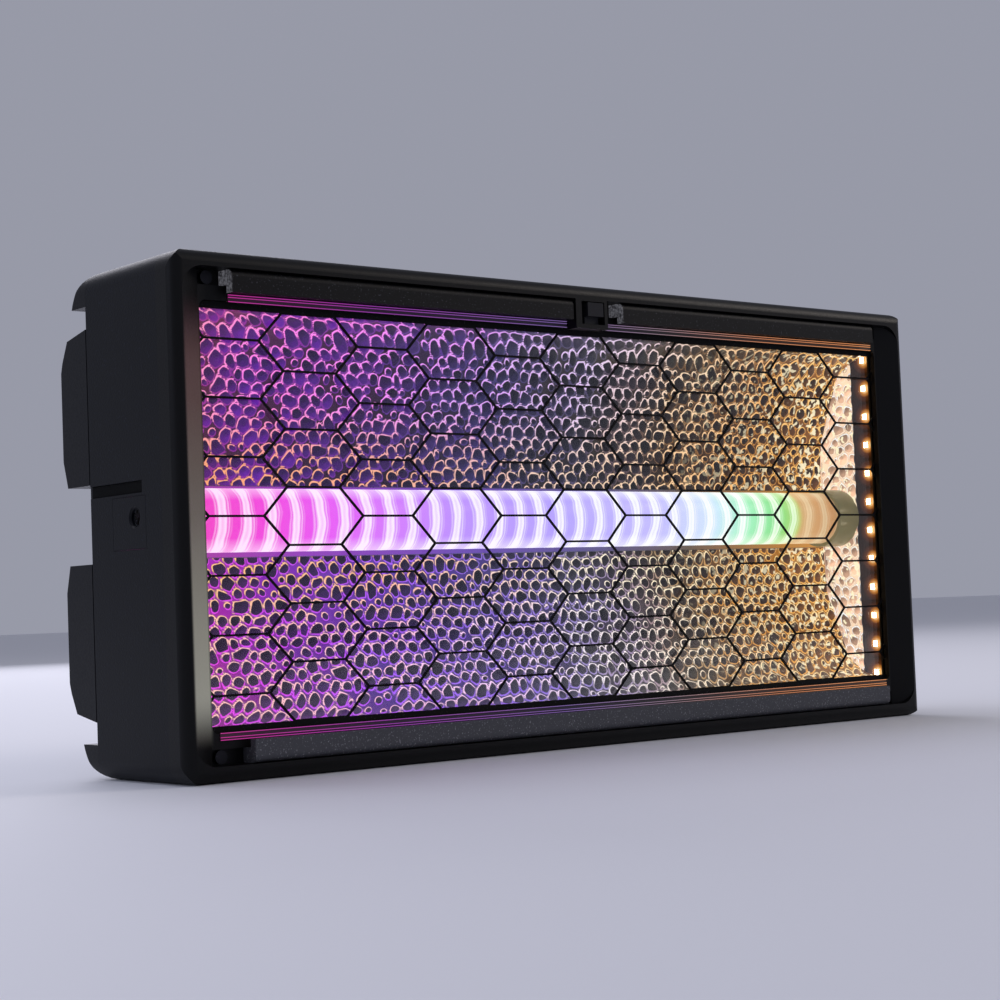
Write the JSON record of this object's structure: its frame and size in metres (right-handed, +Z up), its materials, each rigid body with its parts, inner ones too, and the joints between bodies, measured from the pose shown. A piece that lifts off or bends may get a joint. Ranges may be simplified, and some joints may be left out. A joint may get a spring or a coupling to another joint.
{
  "type": "strobe and wash light panel",
  "caption": "Shallow stage light panel: hammered trough with a glowing tube across it, LED columns at its ends, honeycomb guard, accessory rails and finned vent hoods behind.",
  "frame": {"origin": "middle of the underside", "axes": "+X along the tube to the right seen from the front, +Y from the window to the back, +Z up"},
  "size_m": [0.445, 0.095, 0.212],
  "materials": {
    "bezel_plastic": "fine moulded texture, satin",
    "housing_paint": "fine textured powder coat, satin",
    "hood_plastic": "moulded texture, satin",
    "rail_paint": "coarse powder coat",
    "guard_black": "matt black",
    "window_glass": "clear toughened",
    "gasket_rubber": "matt",
    "latch_plastic": "satin",
    "spring_steel": "drawn wire",
    "screw_black": "black zinc",
    "insert_steel": "zinc plated",
    "reflector_metal": "hammered and polished",
    "tube_light": "frosted, lit from inside",
    "socket_plastic": "clear amber grey",
    "bare_aluminium": "extruded",
    "board": "white solder mask",
    "board_green": "green solder mask",
    "led": "lit phosphor",
    "zinc_steel": "zinc plated",
    "fan_plastic": "moulded",
    "panel_plastic": "fine texture",
    "display_glass": "dark window",
    "button_rubber": "matt",
    "connector_black": "moulded",
    "connector_grey": "moulded",
    "bracket_paint": "powder coat"
  },
  "bodies": {
    "housing": {"front_bezel": "bezel_plastic", "latch_cover": "bezel_plastic", "housing_shell": "housing_paint", "side_plate_left": "housing_paint", "side_plate_right": "housing_paint", "rear_cover": "housing_paint", "hood_upper_left": "hood_plastic", "hood_upper_right": "hood_plastic", "hood_lower_left": "hood_plastic", "hood_lower_right": "hood_plastic", "rear_ribs": "hood_plastic", "top_rail_left": "rail_paint", "top_rail_right": "rail_paint", "bottom_rail": "rail_paint", "hex_guard": "guard_black", "window_glass": "window_glass", "window_gasket": "gasket_rubber", "latch_spring": "spring_steel", "case_screws": "screw_black", "side_inserts": "insert_steel", "reflector_upper": "reflector_metal", "reflector_lower": "reflector_metal", "reflector_end_left": "reflector_metal", "reflector_end_right": "reflector_metal", "strobe_tube": "tube_light", "tube_socket_left": "socket_plastic", "tube_socket_right": "socket_plastic", "tube_led_bar": "bare_aluminium", "heatsink_left": "bare_aluminium", "heatsink_right": "bare_aluminium", "tube_led_board": "board", "side_boards": "board", "driver_board": "board_green", "control_board": "board_green", "tube_leds": "led", "side_leds": "led", "chassis_plate": "zinc_steel", "power_supply": "zinc_steel", "safety_eye": "zinc_steel", "fan_frames": "fan_plastic", "control_panel": "panel_plastic", "display_window": "display_glass", "power_in": "connector_black", "data_in": "connector_black", "data_out": "connector_black", "power_out": "connector_grey", "omega_bracket": "bracket_paint"},
    "latch": {"latch_slider": "latch_plastic"},
    "data_release": {"data_latch": "zinc_steel"},
    "left_stud": {"stud_left": "zinc_steel"},
    "right_stud": {"stud_right": "zinc_steel"},
    "fan_1": {"fan_rotor_1": "fan_plastic"},
    "key_1": {"button_1": "button_rubber"},
    "fan_2": {"fan_rotor_2": "fan_plastic"},
    "key_2": {"button_2": "button_rubber"},
    "fan_3": {"fan_rotor_3": "fan_plastic"},
    "key_3": {"button_3": "button_rubber"},
    "fan_4": {"fan_rotor_4": "fan_plastic"},
    "key_4": {"button_4": "button_rubber"}
  },
  "joints": [
    {"name": "latch_slide", "type": "slide", "parent": "housing", "child": "latch", "axis": [-1, 0, 0], "range_m": [0, 0.0034], "stiffness_N_per_m": 250, "springref_m": -0.002, "deforming": ["latch_spring"]},
    {"name": "data_release_press", "type": "slide", "parent": "housing", "child": "data_release", "axis": [0, 0, -1], "range_m": [0, 0.0015], "stiffness_N_per_m": 400, "springref_m": -0.001},
    {"name": "fan_1_spin", "type": "hinge", "parent": "housing", "child": "fan_1", "pos_m": [-0.148, 0.0323, 0.1555], "axis": [0, 1, 0], "continuous": true},
    {"name": "fan_2_spin", "type": "hinge", "parent": "housing", "child": "fan_2", "pos_m": [0.148, 0.0323, 0.1555], "axis": [0, 1, 0], "continuous": true},
    {"name": "fan_3_spin", "type": "hinge", "parent": "housing", "child": "fan_3", "pos_m": [-0.148, 0.0323, 0.0565], "axis": [0, 1, 0], "continuous": true},
    {"name": "fan_4_spin", "type": "hinge", "parent": "housing", "child": "fan_4", "pos_m": [0.148, 0.0323, 0.0565], "axis": [0, 1, 0], "continuous": true},
    {"name": "key_1_press", "type": "slide", "parent": "housing", "child": "key_1", "axis": [0, -1, 0], "range_m": [0, 0.0012], "stiffness_N_per_m": 500, "springref_m": -0.0006},
    {"name": "key_2_press", "type": "slide", "parent": "housing", "child": "key_2", "axis": [0, -1, 0], "range_m": [0, 0.0012], "stiffness_N_per_m": 500, "springref_m": -0.0006},
    {"name": "key_3_press", "type": "slide", "parent": "housing", "child": "key_3", "axis": [0, -1, 0], "range_m": [0, 0.0012], "stiffness_N_per_m": 500, "springref_m": -0.0006},
    {"name": "key_4_press", "type": "slide", "parent": "housing", "child": "key_4", "axis": [0, -1, 0], "range_m": [0, 0.0012], "stiffness_N_per_m": 500, "springref_m": -0.0006},
    {"name": "left_stud_turn", "type": "hinge", "parent": "housing", "child": "left_stud", "pos_m": [-0.0585, 0.0273, 0.106], "axis": [0, 1, 0], "range_deg": [0, 90]},
    {"name": "right_stud_turn", "type": "hinge", "parent": "housing", "child": "right_stud", "pos_m": [0.0585, 0.0273, 0.106], "axis": [0, 1, 0], "range_deg": [0, 90]}
  ]
}
